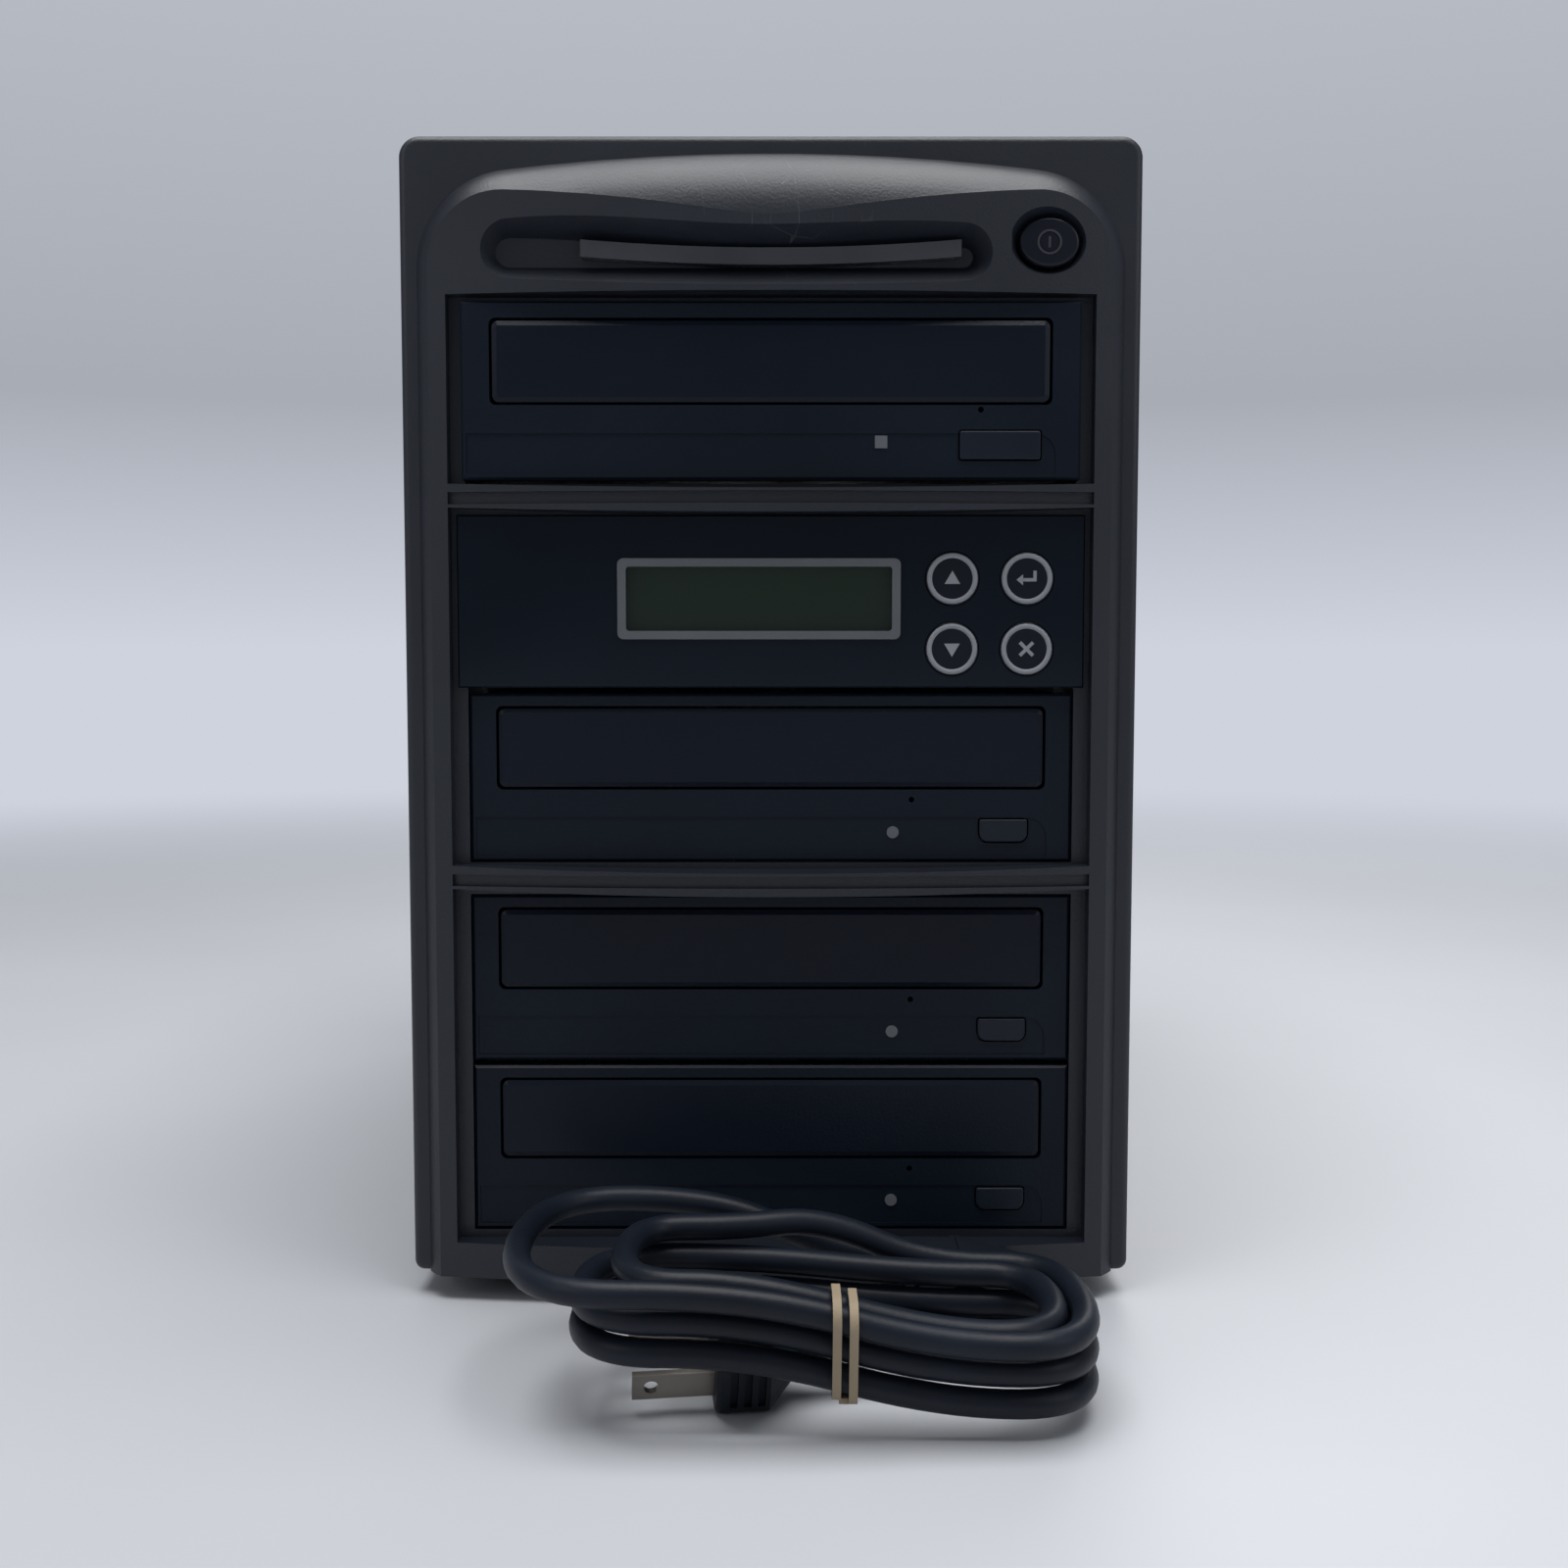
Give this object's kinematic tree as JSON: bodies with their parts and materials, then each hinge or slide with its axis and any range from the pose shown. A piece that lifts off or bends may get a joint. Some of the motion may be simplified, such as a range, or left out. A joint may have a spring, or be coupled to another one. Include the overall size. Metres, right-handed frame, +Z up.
{
  "type": "optical disc duplicator tower",
  "caption": "Free-standing tower that copies discs, with tray-loading optical drives, a key panel with a small display, a moulded front, a steel case and its tied power cord.",
  "frame": {"origin": "middle of the underside of the rubber feet, under the centre of the tower's box without its detached cord", "axes": "+Z up, -Y out of the front that carries the drive trays, +X to the right for someone facing the front"},
  "size_m": [0.18, 0.4326, 0.286],
  "materials": {
    "bezel": "fine matt texture",
    "fascia": "fine matt texture",
    "door": "satin",
    "button": "satin",
    "panel": "polished",
    "lens": "smoked translucent",
    "light": "clear",
    "lcd_frame": "satin silver",
    "lcd": "dark liquid-crystal glass",
    "tray": "fine matt texture",
    "inner": "matt",
    "steel": "zinc-plated sheet",
    "cover": "fine textured powder coat",
    "board": "solder mask",
    "cable": "satin",
    "fan": "satin",
    "chrome": "bright wire",
    "screw": "zinc plated",
    "foot": "matt",
    "cord": "satin vinyl",
    "blade": "nickel-washed brass",
    "band": "matt"
  },
  "bodies": {
    "tower": {"base_pan": "steel", "case_screws": "screw", "controller_board": "board", "controller_bracket": "steel", "cover_shell": "cover", "cover_thumbscrews": "screw", "drive_1_chassis": "steel", "drive_1_fascia": "fascia", "drive_2_chassis": "steel", "drive_2_fascia": "fascia", "drive_3_chassis": "steel", "drive_3_fascia": "fascia", "drive_4_chassis": "steel", "drive_4_fascia": "fascia", "drive_cage": "steel", "drive_decks": "inner", "drive_status_lights": "light", "drive_top_covers": "steel", "fan_frames": "fan", "fan_guards": "chrome", "front_bezel": "bezel", "iec_connector": "cord", "indicator_lens": "lens", "internal_cables": "cable", "lcd_frame": "lcd_frame", "lcd_module": "lcd", "panel_fascia": "panel", "plug_blades": "blade", "plug_body": "cord", "power_cord": "cord", "power_inlet": "inner", "power_switch": "inner", "psu_case": "steel", "rear_panel": "steel", "rubber_band": "band", "rubber_feet": "foot"},
    "drive_1_tray_body": {"drive_1_tray": "tray", "drive_1_tray_door": "door"},
    "drive_1_eject_body": {"drive_1_eject_button": "button"},
    "drive_1_spindle_body": {"drive_1_spindle": "inner"},
    "drive_2_tray_body": {"drive_2_tray": "tray", "drive_2_tray_door": "door"},
    "drive_2_eject_body": {"drive_2_eject_button": "button"},
    "drive_2_spindle_body": {"drive_2_spindle": "inner"},
    "drive_3_tray_body": {"drive_3_tray": "tray", "drive_3_tray_door": "door"},
    "drive_3_eject_body": {"drive_3_eject_button": "button"},
    "drive_3_spindle_body": {"drive_3_spindle": "inner"},
    "drive_4_tray_body": {"drive_4_tray": "tray", "drive_4_tray_door": "door"},
    "drive_4_eject_body": {"drive_4_eject_button": "button"},
    "drive_4_spindle_body": {"drive_4_spindle": "inner"},
    "power_button_body": {"power_button": "button"},
    "key_up_body": {"key_up": "panel"},
    "key_enter_body": {"key_enter": "panel"},
    "key_down_body": {"key_down": "panel"},
    "key_escape_body": {"key_escape": "panel"},
    "psu_rocker_body": {"psu_rocker": "button"},
    "psu_fan_body": {"psu_fan_rotor": "fan"},
    "exhaust_fan_body": {"exhaust_fan_rotor": "fan"}
  },
  "joints": [
    {"name": "drive_1_tray_slide", "type": "slide", "parent": "tower", "child": "drive_1_tray_body", "axis": [0, -1, 0], "range_m": [0, 0.14]},
    {"name": "drive_1_eject_press", "type": "slide", "parent": "tower", "child": "drive_1_eject_body", "axis": [0, 1, 0], "range_m": [0, 0.0008], "stiffness_N_per_m": 800},
    {"name": "drive_1_spindle_spin", "type": "hinge", "parent": "tower", "child": "drive_1_spindle_body", "pos_m": [0, -0.093, 0.017], "axis": [0, 0, 1], "continuous": true},
    {"name": "drive_2_tray_slide", "type": "slide", "parent": "tower", "child": "drive_2_tray_body", "axis": [0, -1, 0], "range_m": [0, 0.14]},
    {"name": "drive_2_eject_press", "type": "slide", "parent": "tower", "child": "drive_2_eject_body", "axis": [0, 1, 0], "range_m": [0, 0.0008], "stiffness_N_per_m": 800},
    {"name": "drive_2_spindle_spin", "type": "hinge", "parent": "tower", "child": "drive_2_spindle_body", "pos_m": [0, -0.093, 0.06], "axis": [0, 0, 1], "continuous": true},
    {"name": "drive_3_tray_slide", "type": "slide", "parent": "tower", "child": "drive_3_tray_body", "axis": [0, -1, 0], "range_m": [0, 0.14]},
    {"name": "drive_3_eject_press", "type": "slide", "parent": "tower", "child": "drive_3_eject_body", "axis": [0, 1, 0], "range_m": [0, 0.0008], "stiffness_N_per_m": 800},
    {"name": "drive_3_spindle_spin", "type": "hinge", "parent": "tower", "child": "drive_3_spindle_body", "pos_m": [0, -0.093, 0.11], "axis": [0, 0, 1], "continuous": true},
    {"name": "drive_4_tray_slide", "type": "slide", "parent": "tower", "child": "drive_4_tray_body", "axis": [0, -1, 0], "range_m": [0, 0.14]},
    {"name": "drive_4_eject_press", "type": "slide", "parent": "tower", "child": "drive_4_eject_body", "axis": [0, 1, 0], "range_m": [0, 0.0008], "stiffness_N_per_m": 800},
    {"name": "drive_4_spindle_spin", "type": "hinge", "parent": "tower", "child": "drive_4_spindle_body", "pos_m": [0, -0.098, 0.2033], "axis": [0, 0, 1], "continuous": true},
    {"name": "power_button_press", "type": "slide", "parent": "tower", "child": "power_button_body", "axis": [0, 1, 0], "range_m": [0, 0.002], "stiffness_N_per_m": 600},
    {"name": "key_up_press", "type": "slide", "parent": "tower", "child": "key_up_body", "axis": [0, 1, 0], "range_m": [0, 0.0005], "stiffness_N_per_m": 900},
    {"name": "key_enter_press", "type": "slide", "parent": "tower", "child": "key_enter_body", "axis": [0, 1, 0], "range_m": [0, 0.0005], "stiffness_N_per_m": 900},
    {"name": "key_down_press", "type": "slide", "parent": "tower", "child": "key_down_body", "axis": [0, 1, 0], "range_m": [0, 0.0005], "stiffness_N_per_m": 900},
    {"name": "key_escape_press", "type": "slide", "parent": "tower", "child": "key_escape_body", "axis": [0, 1, 0], "range_m": [0, 0.0005], "stiffness_N_per_m": 900},
    {"name": "psu_rocker_tilt", "type": "hinge", "parent": "tower", "child": "psu_rocker_body", "pos_m": [-0.045, 0.1689, 0.253], "axis": [1, 0, 0], "range_deg": [0, 20]},
    {"name": "psu_fan_spin", "type": "hinge", "parent": "tower", "child": "psu_fan_body", "pos_m": [0.028, 0.155, 0.239], "axis": [0, 1, 0], "continuous": true},
    {"name": "exhaust_fan_spin", "type": "hinge", "parent": "tower", "child": "exhaust_fan_body", "pos_m": [0, 0.155, 0.12], "axis": [0, 1, 0], "continuous": true}
  ]
}
